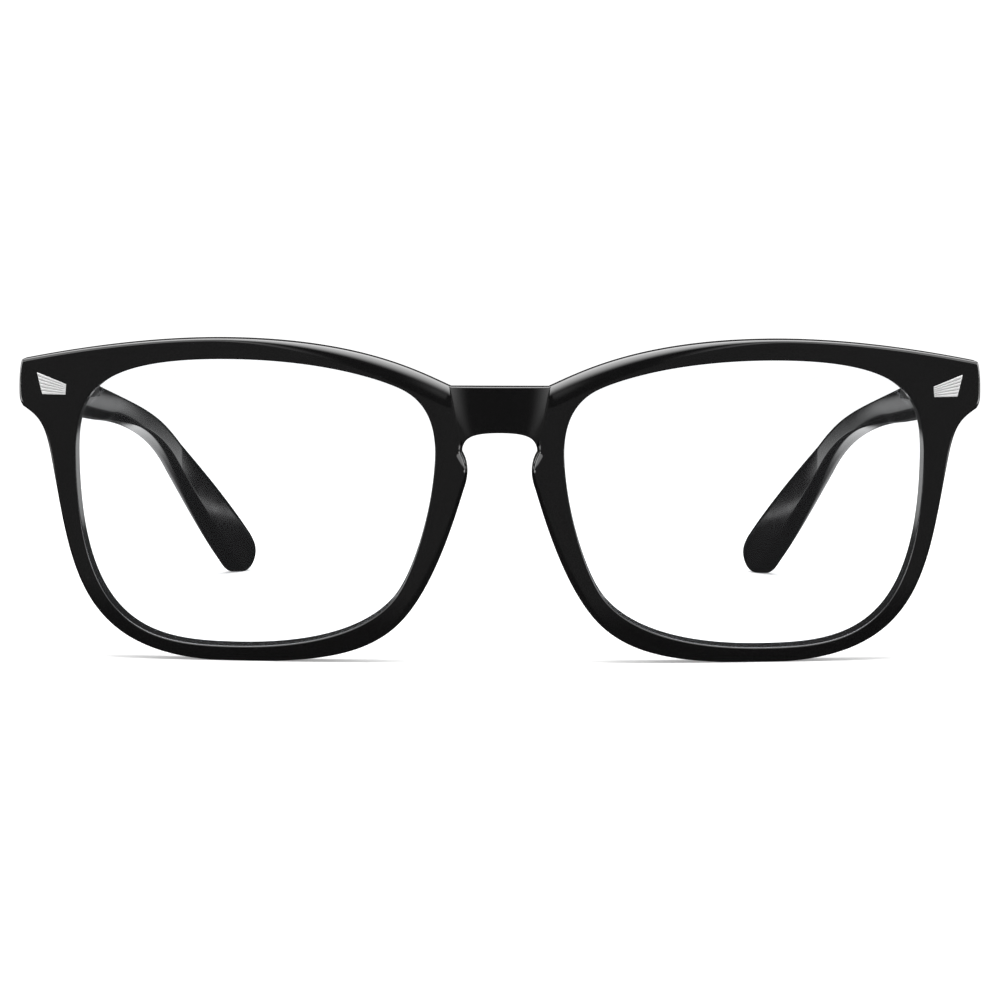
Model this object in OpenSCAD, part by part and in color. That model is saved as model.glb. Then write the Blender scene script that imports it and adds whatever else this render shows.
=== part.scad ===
// Blue light glasses: full-rim acetate style frame on sprung temples.
// Millimetres. +X is the wearer's left, +Y runs back along the temples, +Z is up.
// The glasses stand open on a table: the rims and the temple tips touch z = 0.
// Parts are drawn for the wearer's left side and mirrored for the right.

/* [Front] */
// Full width over the end pieces
frame_w = 140; // [128:0.5:150]
// Height of the front, rim bottom to rim top
front_h = 46.9; // [40:0.1:54]
// Thickness of the rims, front to back
rim_t = 4; // [3.2:0.1:5]
// Radius of the wrap of the front, seen from above
wrap_r = 300; // [220:5:600]
// Lean of the front, top forward, on the table
lean = 4; // [0:0.5:8]
// Width of one lens opening
eye_w = 52.4; // [46:0.1:58]
// Height of one lens opening
eye_h = 41.7; // [34:0.1:46]
// How far the bridge face sits behind the rims
bridge_step = 0.5; // [0.2:0.1:1.2]
// Depth of the end pieces behind the bridge
mitre_y = 16.5; // [14:0.1:20]
// Height of the end pieces at the mitre
end_h = 7; // [6:0.1:9]

/* [Lenses] */
// Radius of the lens front
lens_r = 265; // [130:5:530]
// Lens thickness
lens_t = 1.6; // [1.2:0.1:2.2]
// How far the lens edge runs into the rim
lens_bite = 0.7; // [0.4:0.05:1]
// How far the lens crown sits behind the rim face
lens_set = 0.5; // [0.3:0.05:1]

/* [Nose pads] */
// Reach of the pads behind the rims
pad_reach = 5.2; // [3:0.1:8]
// Radius of the rounded pad edge
pad_r = 1.3; // [0.8:0.1:2]

/* [Plaques] */
// Length of the plaque along its level lower edge
plaque_l = 3.6; // [2.5:0.1:5]
// Height of the tall outer end
plaque_h = 3; // [2:0.1:4]
// Height of the short inner end
plaque_tip = 1.35; // [0.8:0.05:2.5]
// Plate thickness
plaque_t = 0.7; // [0.4:0.05:1]
// How far the plate stands proud of the end piece
plaque_proud = 0.15; // [0:0.05:0.3]
// Pin diameter
plaque_pin_d = 0.8; // [0.6:0.1:1.2]
// Ridges along the plate
plaque_ridges = 6; // [3:1:8]

/* [Hinges] */
// Distance of the hinge axis from the centre plane
hinge_x = 64; // [60:0.1:66]
// Distance of the hinge axis behind the mitre
hinge_back = 1.8; // [1.7:0.1:2.4]
// Height of the hinge centre
hinge_z = 39.4; // [36:0.1:42]
// Radius of the knuckles
knuckle_r = 1.4; // [1.3:0.05:1.8]
// Full height of the barrel
barrel_h = 5.2; // [4:0.1:6]
// Height of the middle eye
eye_knuckle_h = 2.2; // [1.6:0.1:2.8]
// Screw shank diameter
screw_d = 1.4; // [1.2:0.1:1.6]
// Screw head diameter
screw_head_d = 2.2; // [2:0.1:2.6]
// Slider rod diameter
rod_d = 1.1; // [0.9:0.05:1.4]
// Length of the hinge housing
housing_l = 12.5; // [11.5:0.5:18]

/* [Springs] */
// Wire diameter
spring_wire = 0.32; // [0.2:0.02:0.5]
// Outer diameter of the coil
spring_d = 2.1; // [1.7:0.05:2.4]
// Number of coils
spring_turns = 8; // [6:1:14]

/* [Temples] */
// Thickness at the hinge
temple_front_t = 4; // [3:0.1:5]
// Height of the flat core wire
core_h = 1.6; // [1:0.1:2.2]
// Thickness of the flat core wire
core_t = 1; // [0.6:0.1:1.4]
// How far the temple tips stop behind the bridge
temple_reach = 148; // [135:0.5:155]

/* [Which piece] */
// Piece to draw

/* [Hidden] */

$fn = 48;
wrap_fn = 720;
lens_fn = 360;
curve_steps = 12;

// Everything is drawn from the bridge and moved back by mid_y at the end,
// so the origin is under the middle of the whole object.
mid_y = 73.59;
lean_z = 37.47;
rest_drop = 0.3;
big = 60;
slip = 0.02;
seat_gap = 0.05;
run_gap = 0.04;
axial_gap = 0.1;

eye_mid = [35.45, 23.1];
sx = frame_w / 140;
sz = front_h / 46.9;
hinge_y = mitre_y + hinge_back;
knuckle_h = (barrel_h - eye_knuckle_h) / 2 - axial_gap;

leaf_t = 1.2;
leaf_l = 5.2;
head_h = 0.7;
head_sink = 0.35;
slot_w = 0.4;
slot_d = 0.35;

housing_y = 2.4;
housing_wall = 1;
housing_w = 3.3;
housing_h = 3.4;
spring_bore_d = 2.4;
spring_l = 7.2;
wire_sides = 8;
// half angle of one turn taken up by the height of the wire
wire_spread = 180 * spring_wire * spring_turns / spring_l;
stop_l = 1.2;
stop_d = 2.2;
rod_end = housing_y + housing_wall + spring_l + stop_l;

black = [0.05, 0.05, 0.055];
clear = [0.85, 0.93, 1, 0.35];
steel = [0.72, 0.73, 0.75];
silver = [0.8, 0.8, 0.8];

// Cubic curve through p0 and p3, without its last point
function curve(p0, p1, p2, p3) = [
  for (i = [0 : curve_steps - 1])
    let (t = i / curve_steps, s = 1 - t)
      s * s * s * p0 + 3 * s * s * t * p1 + 3 * s * t * t * p2 + t * t * t * p3
];

// Lens opening, from its top round by the nose
function opening() = concat(
  curve([38.6, 43.95], [23.4, 43.95], [15.1, 40.5], [13.6, 39.65]),
  curve([13.6, 39.65], [10.3, 37.85], [9.25, 34.5], [9.25, 31]),
  curve([9.25, 31], [9.25, 24.5], [11.9, 14.2], [14.85, 10.05]),
  curve([14.85, 10.05], [17.95, 5.75], [25, 2.25], [38.8, 2.25]),
  curve([38.8, 2.25], [50.4, 2.25], [61.65, 3.2], [61.65, 29.2]),
  curve([61.65, 29.2], [61.65, 37.65], [59.9, 43.95], [38.6, 43.95])
);

// The opening grown about its middle by a margin, and fitted to eye_w and eye_h
function opening_grown(margin) = [
  for (p = opening())
    [
      eye_mid[0] + (p[0] - eye_mid[0]) * (eye_w + 2 * margin) / 52.4,
      eye_mid[1] + (p[1] - eye_mid[1]) * (eye_h + 2 * margin) / 41.7
    ]
];

// Outer edge of the left half of the front, bridge top to bridge arch
function outline_half() = concat(
  [[4.8, 40.2]],
  curve([7, 40.2], [11.3, 42.1], [19.8, 46.9], [39.3, 46.9]),
  curve([39.3, 46.9], [47, 46.9], [57, 46], [69.4, 43.45]),
  curve([69.4, 43.45], [69.8, 43.3], [70, 40.5], [70, 38.6]),
  curve([70, 38.6], [70, 36.6], [69.4, 36.7], [68.1, 35.65]),
  curve([68.1, 35.65], [66.6, 34.4], [66, 32.8], [65.42, 29.5]),
  curve([65.42, 29.5], [62.65, 13.8], [62.6, 0], [39.2, 0]),
  curve([39.2, 0], [27, 0], [19.2, 1.1], [14.4, 5.9]),
  curve([14.4, 5.9], [9.6, 10.7], [6.6, 20.6], [5.15, 25.4]),
  curve([5.15, 25.4], [4.62, 26.9], [4.14, 28.6], [5.38, 30.8]),
  curve([5.38, 30.8], [5.3, 32.9], [4.2, 33.65], [0, 33.65])
);

// The half and its mirror image as one closed outline
function outline() =
  let (half = outline_half(), n = len(half))
    concat(half, [for (i = [n - 1 : -1 : 0]) [-half[i][0], half[i][1]]]);

function sized(points) = [for (p = points) [p[0] * sx, p[1] * sz]];

// Stands the front plane up: x stays, y goes up, depth goes back
module stand() {
  translate([0, lean_z * sin(lean), -rest_drop])
    rotate([lean, 0, 0])
      children();
}

// Pushes a flat shape in x and height back through the front, from d0 to d1
module push(d0, d1) {
  translate([0, d1, 0])
    rotate([90, 0, 0])
      linear_extrude(height = d1 - d0)
        children();
}

// Everything of the wrapped front behind a face set back by d
module behind_face(d) {
  translate([0, wrap_r, -5])
    cylinder(r = wrap_r - d, h = big, $fn = wrap_fn);
}

module outline_2d() {
  polygon(sized(outline()));
}

module opening_2d(margin) {
  polygon(sized(opening_grown(margin)));
}

// Spherical slab of the lens with margin all round
module lens_slab(gap) {
  axis_a = asin(eye_mid[0] / wrap_r);
  reach = wrap_r - lens_set - lens_r;
  intersection() {
    translate([reach * sin(axis_a) * sx, wrap_r - reach * cos(axis_a), eye_mid[1]])
      difference() {
        sphere(r = lens_r + gap, $fn = lens_fn);
        sphere(r = lens_r - lens_t - gap, $fn = lens_fn);
      }
    push(-2, 12)
      opening_2d(lens_bite + gap);
  }
}

// Corners of the plaque from its lower outer corner: a level lower edge, a tall
// outer end that leans out and a short inner end that leans in
plaque_lean = 0.65;
function plaque_corners() = [
  [0, 0],
  [plaque_lean, plaque_h],
  [-plaque_l - plaque_lean / 4, plaque_tip],
  [-plaque_l, 0]
];

// The two pins of the plaque, from the same corner
function pin_spots() = [[-0.7, 1.25], [-2.5, 0.8]];

// Moves the plaque drawing onto the face of the end piece
module on_end_piece() {
  plaque_x = 66.7;
  plaque_z = 38.4;
  wrap_a = asin(plaque_x / wrap_r);
  translate([plaque_x * sx, wrap_r - wrap_r * cos(wrap_a), plaque_z])
    rotate([0, 0, wrap_a])
      children();
}

// Plate and pins of the plaque, grown by gap for its seat
module plaque_body(gap) {
  middle = [-plaque_l / 2, plaque_h / 2.6];
  grow = 1 + 2 * gap / plaque_tip;
  push(-plaque_proud, plaque_t + gap)
    polygon([for (c = plaque_corners()) middle + (c - middle) * grow]);
  for (p = pin_spots())
    translate([p[0], plaque_t - 0.1, p[1]])
      rotate([-90, 0, 0])
        cylinder(d = plaque_pin_d + 2 * gap, h = 2.3 + gap, $fn = 24);
}

// Step between the bridge face and the left rim, from above the brow to the arch
function bridge_edge() = [[8, 45], [7.25, 39.8], [5.3, 32.7], [4.6, 30]];

module rims() {
  stand()
    difference() {
      intersection() {
        push(-2, 16)
          outline_2d();
        difference() {
          behind_face(0);
          behind_face(rim_t);
        }
      }
      push(-3, 20)
        opening_2d(0);
      mirror([1, 0, 0])
        push(-3, 20)
          opening_2d(0);
      // stepped bridge face with a bevelled top edge
      push(-1, bridge_step)
        polygon(concat(bridge_edge(), [for (i = [3 : -1 : 0]) [-bridge_edge()[i][0], bridge_edge()[i][1]]]));
      translate([0, bridge_step, 40.2])
        rotate([45, 0, 0])
          cube([13.6, 0.6, 0.6], center = true);
    }
}

// Block that carries the mitre and the front leaf of the hinge
module end_block() {
  block_x = 61.9 * sx;
  block_z = 36.6 * sz;
  intersection() {
    translate([block_x, 0, block_z])
      cube([69.85 * sx - block_x, mitre_y, end_h]);
    stand()
      behind_face(rim_t / 2);
  }
}

module front_frame() {
  color(black)
    difference() {
      union() {
        rims();
        end_block();
        mirror([1, 0, 0])
          end_block();
      }
      for (side = [0, 1])
        mirror([side, 0, 0]) {
          stand()
            lens_slab(seat_gap);
          stand()
            on_end_piece()
              plaque_body(slip);
          at_hinge()
            leaf_plate(slip);
        }
      translate([-big * 2, -big, -10])
        cube([big * 4, big * 4, 10]);
    }
}

module lens() {
  color(clear)
    stand()
      lens_slab(0);
}

// Bonded pad on the nose side of a rim
module nose_pad() {
  color(black)
    stand()
      difference() {
        hull() {
          translate([5.75, rim_t, 27.4])
            sphere(r = pad_r, $fn = 32);
          translate([7.1, rim_t, 20.5])
            sphere(r = pad_r, $fn = 32);
          translate([10.2, rim_t, 13])
            sphere(r = pad_r, $fn = 32);
          translate([7.2, rim_t + pad_reach - pad_r, 26])
            sphere(r = pad_r, $fn = 32);
          translate([9.2, rim_t + pad_reach - pad_r, 20])
            sphere(r = pad_r, $fn = 32);
          translate([11.6, rim_t + pad_reach - 2 * pad_r, 14])
            sphere(r = pad_r, $fn = 32);
        }
        difference() {
          behind_face(-10);
          behind_face(rim_t);
        }
      }
}

// Point a share f of the way up an end of the plaque
function up_end(low, high, f) = low + (high - low) * f;

module plaque() {
  groove = 0.12;
  color(silver)
    stand()
      on_end_piece()
        difference() {
          plaque_body(0);
          for (i = [1 : plaque_ridges - 1])
            let (
              c = plaque_corners(),
              f = i / plaque_ridges,
              outer = up_end(c[0], c[1], f),
              inner = up_end(c[3], c[2], f),
              run = (outer - inner) * 0.05
            )
              push(-plaque_proud - 0.1, -plaque_proud + groove)
                polygon([
                  inner - run,
                  outer + run - [0, groove / 2],
                  outer + run + [0, groove / 2]
                ]);
        }
}

// Moves a drawing made about the hinge axis into place
module at_hinge() {
  translate([hinge_x * sx, hinge_y, hinge_z])
    children();
}

// Plate of the front leaf, sunk into the end piece
module leaf_plate(gap) {
  translate([-leaf_t / 2 - gap, -hinge_back - leaf_l - gap, -barrel_h / 2 - gap])
    cube([leaf_t + 2 * gap, leaf_l + 2 * gap, barrel_h + 2 * gap]);
}

module knuckle(z0, h) {
  translate([0, 0, z0])
    difference() {
      union() {
        cylinder(r = knuckle_r, h = h);
        translate([-leaf_t / 2, -hinge_back, 0])
          cube([leaf_t, hinge_back, h]);
      }
      translate([0, 0, -1])
        cylinder(d = screw_d + 2 * run_gap, h = h + 2);
    }
}

module front_hinge_leaf() {
  color(steel)
    at_hinge() {
      difference() {
        union() {
          leaf_plate(0);
          knuckle(-barrel_h / 2, knuckle_h);
          knuckle(barrel_h / 2 - knuckle_h, knuckle_h);
        }
        translate([0, 0, barrel_h / 2 - head_sink])
          cylinder(d = screw_head_d + 2 * run_gap, h = 1);
      }
    }
}

module hinge_screw() {
  color(steel)
    at_hinge()
      difference() {
        union() {
          translate([0, 0, -barrel_h / 2 - 0.3])
            cylinder(d = screw_d, h = barrel_h + 0.3 - head_sink);
          translate([0, 0, barrel_h / 2 - head_sink])
            cylinder(d = screw_head_d, h = head_h);
        }
        translate([-2, -slot_w / 2, barrel_h / 2 - head_sink + head_h - slot_d])
          cube([4, slot_w, 1]);
      }
}

// Eye on the screw and rod into the housing
module hinge_slider() {
  color(steel)
    at_hinge()
      difference() {
        union() {
          translate([0, 0, -eye_knuckle_h / 2])
            cylinder(r = knuckle_r, h = eye_knuckle_h);
          rotate([-90, 0, 0])
            cylinder(d = rod_d, h = rod_end, $fn = 32);
        }
        cylinder(d = screw_d + 2 * run_gap, h = big, center = true);
      }
}

// Cap swaged on the end of the rod
module spring_stop() {
  color(steel)
    at_hinge()
      translate([0, rod_end - stop_l, 0])
        rotate([-90, 0, 0])
          difference() {
            cylinder(d = stop_d, h = stop_l, $fn = 32);
            translate([0, 0, -1])
              cylinder(d = rod_d + 2 * slip, h = stop_l + 2, $fn = 32);
          }
}

// Section of the wire where it crosses a plane square to the coil's axis
function wire_cut(coil_r) = [
  for (i = [0 : wire_sides - 1])
    let (
      a = i * 360 / wire_sides,
      along = wire_spread * cos(a),
      r = coil_r + spring_wire / 2 * sin(a)
    )
      [r * cos(along), r * sin(along)]
];

// Coil wound round the rod
module hinge_spring() {
  color(steel)
    at_hinge()
      translate([0, housing_y + housing_wall + slip, 0])
        rotate([-90, 0, 0])
          linear_extrude(
            height = spring_l - 2 * slip,
            twist = -360 * spring_turns,
            slices = spring_turns * 16,
            segments = wire_sides
          )
            polygon(wire_cut((spring_d - spring_wire) / 2));
}

module housing_box(gap) {
  translate([-housing_w / 2 - gap, housing_y, -housing_h / 2 - gap])
    cube([housing_w + 2 * gap, housing_l + gap, housing_h + 2 * gap]);
}

// Box on the inner side of the temple that holds the spring
module hinge_housing() {
  color(steel)
    at_hinge()
      difference() {
        union() {
          housing_box(0);
          // tongue sunk into the temple
          translate([housing_w / 2 - 0.01, housing_y + 2, -1.2])
            cube([1.6, housing_l - 4, 2.4]);
        }
        translate([0, housing_y - 1, 0])
          rotate([-90, 0, 0])
            cylinder(d = rod_d + 2 * run_gap, h = 4, $fn = 32);
        translate([0, housing_y + housing_wall, 0])
          rotate([-90, 0, 0])
            cylinder(d = spring_bore_d, h = housing_l - 2 * housing_wall, $fn = 32);
      }
}

// Temple seen from the side, as depth and height
function temple_side() = concat(
  curve([mitre_y + axial_gap, 43.5], [38, 39.9], [71, 37.1], [93, 32.95]),
  curve([93, 32.95], [105, 30.7], [118, 26.6], [131.5, 18.4]),
  curve([131.5, 18.4], [136.3, 15.4], [141, 12], [144.8, 8.3]),
  curve([144.8, 8.3], [147.2, 6], [temple_reach - 0.1, 4.1], [temple_reach - 1.2, 2]),
  curve([temple_reach - 1.2, 2], [146, 0.5], [144.8, -0.15], [143.4, -0.15]),
  curve([143.4, -0.15], [141, -0.1], [139.7, 1.55], [138, 2.9]),
  curve([138, 2.9], [129.4, 9.7], [120.4, 17], [109.6, 22.8]),
  curve([109.6, 22.8], [98.6, 28.7], [84, 32], [60, 33.1]),
  curve([60, 33.1], [45, 34.1], [30, 35.5], [mitre_y + axial_gap, 36.5]),
  [[mitre_y + axial_gap, 36.5]]
);

// Temple seen from above, as depth and distance from the middle
function temple_plan() = concat(
  curve([mitre_y, 65.5 * sx], [50, 65.7], [85, 63.2], [113, 59.9]),
  curve([113, 59.9], [129, 57.4], [143, 51.6], [temple_reach + 1, 47.9]),
  [[temple_reach + 1, 47.9]],
  curve([temple_reach + 1, 51.6], [143, 55.2], [130, 60.4], [113, 62.9]),
  curve([113, 62.9], [85, 66.3], [50, 69.3], [mitre_y, (65.5 + temple_front_t) * sx]),
  [[mitre_y, (65.5 + temple_front_t) * sx]]
);

// Middle line of the core wire from the side and from above
function core_side() = concat(
  curve([38, 37.6], [60, 35.6], [80, 33.6], [96, 30.4]),
  curve([96, 30.4], [111, 26.4], [120, 21.2], [134, 11.9]),
  [[134, 11.9]]
);
function core_plan() = concat(
  curve([38, 67.15], [60, 66.4], [85, 64.6], [112, 61.5]),
  curve([112, 61.5], [120, 60.4], [128, 58.4], [134.5, 56.4]),
  [[134.5, 56.4]]
);

// Unit vector square to a line of points at point i
function across(mid, i) =
  let (run = mid[min(i + 1, len(mid) - 1)] - mid[max(i - 1, 0)])
    [-run[1], run[0]] / norm(run);

// Closed band of width w along a line of points
function band(mid, w) =
  let (n = len(mid))
    concat(
      [for (i = [0 : n - 1]) mid[i] + across(mid, i) * w / 2],
      [for (i = [n - 1 : -1 : 0]) mid[i] - across(mid, i) * w / 2]
    );

// Solid whose outline is given from the side and from above
module side_and_plan(side, plan) {
  intersection() {
    rotate([90, 0, 90])
      linear_extrude(height = 90)
        polygon(side);
    linear_extrude(height = big)
      polygon([for (p = plan) [p[1], p[0]]]);
  }
}

module core_wire(gap) {
  side_and_plan(band(core_side(), core_h + 2 * gap), band(core_plan(), core_t + 2 * gap));
}

module temple() {
  color(black)
    difference() {
      side_and_plan(temple_side(), temple_plan());
      at_hinge() {
        housing_box(slip);
        translate([housing_w / 2 - slip, housing_y + 2 - slip, -1.2 - slip])
          cube([1.6 + 2 * slip, housing_l - 4 + 2 * slip, 2.4 + 2 * slip]);
      }
      core_wire(slip);
    }
}

module temple_core() {
  color(steel)
    core_wire(0);
}

// Places a left piece, or its mirror on the right
module placed(side) {
  translate([0, -mid_y, 0])
    mirror([side == "right" ? 1 : 0, 0, 0])
      children();
}

placed("left") front_frame();
placed("left") lens();  // left_lens
placed("right") lens();  // right_lens
placed("left") nose_pad();  // left_nose_pad
placed("right") nose_pad();  // right_nose_pad
placed("left") plaque();  // left_plaque
placed("right") plaque();  // right_plaque
placed("left") front_hinge_leaf();  // left_front_hinge_leaf
placed("right") front_hinge_leaf();  // right_front_hinge_leaf
placed("left") hinge_screw();  // left_hinge_screw
placed("right") hinge_screw();  // right_hinge_screw
placed("left") hinge_slider();  // left_hinge_slider
placed("right") hinge_slider();  // right_hinge_slider
placed("left") hinge_spring();  // left_hinge_spring
placed("right") hinge_spring();  // right_hinge_spring
placed("left") spring_stop();  // left_spring_stop
placed("right") spring_stop();  // right_spring_stop
placed("left") hinge_housing();  // left_hinge_housing
placed("right") hinge_housing();  // right_hinge_housing
placed("left") temple();  // left_temple
placed("right") temple();  // right_temple
placed("left") temple_core();  // left_temple_core
placed("right") temple_core();  // right_temple_core
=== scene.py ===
import math

import bmesh
import bpy
import numpy as np
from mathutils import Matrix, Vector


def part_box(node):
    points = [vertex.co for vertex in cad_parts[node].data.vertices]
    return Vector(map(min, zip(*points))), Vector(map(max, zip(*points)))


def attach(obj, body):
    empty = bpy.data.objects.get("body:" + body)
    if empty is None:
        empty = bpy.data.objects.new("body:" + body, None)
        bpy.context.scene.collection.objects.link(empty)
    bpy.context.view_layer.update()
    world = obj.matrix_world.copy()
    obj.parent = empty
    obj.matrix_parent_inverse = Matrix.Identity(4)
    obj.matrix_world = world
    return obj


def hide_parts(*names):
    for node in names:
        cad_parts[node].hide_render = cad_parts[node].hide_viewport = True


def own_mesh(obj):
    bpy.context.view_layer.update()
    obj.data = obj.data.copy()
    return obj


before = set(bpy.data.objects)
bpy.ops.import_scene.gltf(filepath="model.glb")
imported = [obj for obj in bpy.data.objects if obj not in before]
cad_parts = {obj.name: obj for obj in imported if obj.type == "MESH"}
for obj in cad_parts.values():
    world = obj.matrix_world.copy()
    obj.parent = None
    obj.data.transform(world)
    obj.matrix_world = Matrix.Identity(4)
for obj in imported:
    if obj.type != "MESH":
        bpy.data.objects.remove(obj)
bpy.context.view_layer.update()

import openvdb
from mathutils import Vector

# Black full-rim glasses. The front, temples, nose pads, lenses, plaques and springs are redrawn as
# finer meshes where the CAD has them; the other hinge pieces and the core wires come from the CAD.
# Lengths are in mm until make_object() turns them into metres.
MM = 0.001
FINE = 1.0    # share of the full number of rows and columns
SIDES = (("left", 1.0), ("right", -1.0))

# ---------------------------------------------------------------------- sizes
WRAP_R = 300.0                  # radius of the curve of the front, seen from above
LEAN = math.radians(4.0)
LEAN_Z = 37.47                  # height about which the front leans back
REST_DROP = 0.3                 # how far its round lower edge is let into the table and cut flat
RIM_T = 4.0
MITRE_Y = 16.5                  # where each temple meets its end piece, behind the bridge
MID_Y = -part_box("front_frame")[1].y / MM + MITRE_Y
SIN_L, COS_L = math.sin(LEAN), math.cos(LEAN)
MIRROR = np.array([-1.0, 1.0])


def bez(points, steps):
    """Points along a chain of cubic curves, each given by its four control points."""
    out = []
    for seg in points:
        a, b, c, d = (np.array(p, float) for p in seg)
        for i in range(steps):
            t = i / steps
            s = 1 - t
            out.append(s**3 * a + 3 * s * s * t * b + 3 * s * t * t * c + t**3 * d)
    return out


STEPS = 60                              # points on each curve
BRIDGE_TOP, BRIDGE_ARCH = 40.2, 33.65   # heights of the bridge's two edges over the nose
# the left lens opening, and the left half of the outline of the front
OPENING = np.array(bez([
    ((38.6, 43.95), (23.4, 43.95), (15.1, 40.5), (13.6, 39.65)),
    ((13.6, 39.65), (10.3, 37.85), (9.25, 34.5), (9.25, 31)),
    ((9.25, 31), (9.25, 24.5), (11.9, 14.2), (14.85, 10.05)),
    ((14.85, 10.05), (17.95, 5.75), (25, 2.25), (38.8, 2.25)),
    ((38.8, 2.25), (50.4, 2.25), (61.65, 3.2), (61.65, 29.2)),
    ((61.65, 29.2), (61.65, 37.65), (59.9, 43.95), (38.6, 43.95)),
], STEPS))
HALF = bez([
    ((7, BRIDGE_TOP), (11.3, 42.1), (19.8, 46.9), (39.3, 46.9)),
    ((39.3, 46.9), (47, 46.9), (57, 46), (69.4, 43.45)),
    ((69.4, 43.45), (69.8, 43.3), (70, 40.5), (70, 38.6)),
    ((70, 38.6), (70, 36.6), (69.4, 36.7), (68.1, 35.65)),
    ((68.1, 35.65), (66.6, 34.4), (66, 32.8), (65.42, 29.5)),
    ((65.42, 29.5), (62.65, 13.8), (62.6, 0), (39.2, 0)),
    ((39.2, 0), (27, 0), (19.2, 1.1), (14.4, 5.9)),
    ((14.4, 5.9), (9.6, 10.7), (6.6, 20.6), (5.15, 25.4)),
    ((5.15, 25.4), (4.62, 26.9), (4.14, 28.6), (5.38, 30.8)),
    ((5.38, 30.8), (5.3, 32.9), (4.2, BRIDGE_ARCH), (0, BRIDGE_ARCH)),
], STEPS)
HALF_LINE = np.array([[0.0, BRIDGE_TOP], *HALF, [0.0, BRIDGE_ARCH]])
OUTLINE = np.vstack([HALF_LINE, HALF_LINE[1:-1][::-1] * MIRROR])


# ------------------------------------------------------------ distance fields
def poly_distance(px, py, poly):
    """Signed distance to a closed polygon, negative inside."""
    shape = np.broadcast(px, py).shape
    x = np.broadcast_to(px, shape).ravel().astype(np.float32)
    y = np.broadcast_to(py, shape).ravel().astype(np.float32)
    best = np.full(x.shape, 1e9, np.float32)
    inside = np.zeros(x.shape, bool)
    n = len(poly)
    for i in range(n):
        ax, ay = (float(v) for v in poly[i])
        bx, by = (float(v) for v in poly[(i + 1) % n])
        ex, ey = bx - ax, by - ay
        length2 = ex * ex + ey * ey
        if length2 < 1e-12:
            continue
        wx, wy = x - ax, y - ay
        t = np.clip((wx * ex + wy * ey) / length2, 0, 1)
        best = np.minimum(best, (wx - ex * t) ** 2 + (wy - ey * t) ** 2)
        if ay != by:
            crosses = (ay > y) != (by > y)
            inside ^= crosses & (x < ex * (y - ay) / ey + ax)
    d = np.sqrt(best)
    return np.where(inside, -d, d).reshape(shape)


def smooth_min(a, b, k):
    """Union of two fields with the inner corner filled over k."""
    h = np.clip(0.5 + 0.5 * (b - a) / k, 0, 1)
    return b + (a - b) * h - k * h * (1 - h)


def ramp(x, lo, hi):
    t = np.clip((x - lo) / (hi - lo), 0, 1)
    return t * t * (3 - 2 * t)


def field_mesh(field, low, high, cell):
    """Closed mesh of field(x, y, z) = 0, with each point then moved onto the surface itself."""
    band = 3 * cell
    axes = [np.arange(low[i], high[i] + cell, cell, dtype=np.float32) for i in range(3)]
    values = field(axes[0][:, None, None], axes[1][None, :, None], axes[2][None, None, :])
    grid = openvdb.FloatGrid(band)
    grid.copyFromArray(np.ascontiguousarray(np.clip(values, -band, band), np.float32))
    grid.gridClass = openvdb.GridClass.LEVEL_SET
    points, quads = grid.convertToQuads()
    points = np.asarray(points, float) * cell + np.array(low, float)
    passes, eps, least_slope, longest_step = 3, 0.02, 0.25, 0.4 * cell
    for _ in range(passes):
        x, y, z = points.T
        d = field(x, y, z)
        g = np.stack([
            field(x + eps, y, z) - field(x - eps, y, z),
            field(x, y + eps, z) - field(x, y - eps, z),
            field(x, y, z + eps) - field(x, y, z - eps)], 1) / (2 * eps)
        size = np.maximum((g * g).sum(1), least_slope)
        step = np.clip(d / size, -longest_step, longest_step)
        points = points - g * step[:, None]
    return points, np.asarray(quads)[:, ::-1]


def to_row(points):
    """Front plane (x, depth, height) to the row frame."""
    u, w, v = points.T
    return np.stack([
        u,
        w * COS_L - v * SIN_L + LEAN_Z * SIN_L,
        w * SIN_L + v * COS_L - REST_DROP], 1)


def make_object(name, points, faces, smooth=True):
    """Object in metres from points in mm measured from the bridge."""
    mesh = bpy.data.meshes.new(name)
    shifted = np.array(points, float)
    shifted[:, 1] -= MID_Y
    mesh.from_pydata((shifted * MM).tolist(), [], [list(map(int, f)) for f in faces])
    mesh.update()
    if smooth:
        mesh.shade_smooth()
    obj = bpy.data.objects.new(name, mesh)
    bpy.context.scene.collection.objects.link(obj)
    return obj


# ------------------------------------------------------------------ materials
def new_material(name):
    mat = bpy.data.materials.new(name)
    mat.use_nodes = True
    nodes, links = mat.node_tree.nodes, mat.node_tree.links
    return mat, nodes, links, nodes["Principled BSDF"]


def add(nodes, kind, **values):
    node = nodes.new(kind)
    for key, value in values.items():
        if key in node.inputs:
            node.inputs[key].default_value = value
        else:
            setattr(node, key, value)
    return node


def object_noise(nodes, links, scale, detail=4.0, stretch=(1, 1, 1)):
    coords = add(nodes, "ShaderNodeTexCoord")
    mapping = add(nodes, "ShaderNodeMapping")
    mapping.inputs["Scale"].default_value = stretch
    noise = add(nodes, "ShaderNodeTexNoise")
    noise.inputs["Scale"].default_value = scale
    noise.inputs["Detail"].default_value = detail
    links.new(coords.outputs["Object"], mapping.inputs["Vector"])
    links.new(mapping.outputs["Vector"], noise.inputs["Vector"])
    return noise


def span(nodes, links, source, low, high, from_low=0.3, from_high=0.7):
    node = add(nodes, "ShaderNodeMapRange")
    node.inputs["From Min"].default_value = from_low
    node.inputs["From Max"].default_value = from_high
    node.inputs["To Min"].default_value = low
    node.inputs["To Max"].default_value = high
    links.new(source, node.inputs["Value"])
    return node.outputs["Result"]


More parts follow.
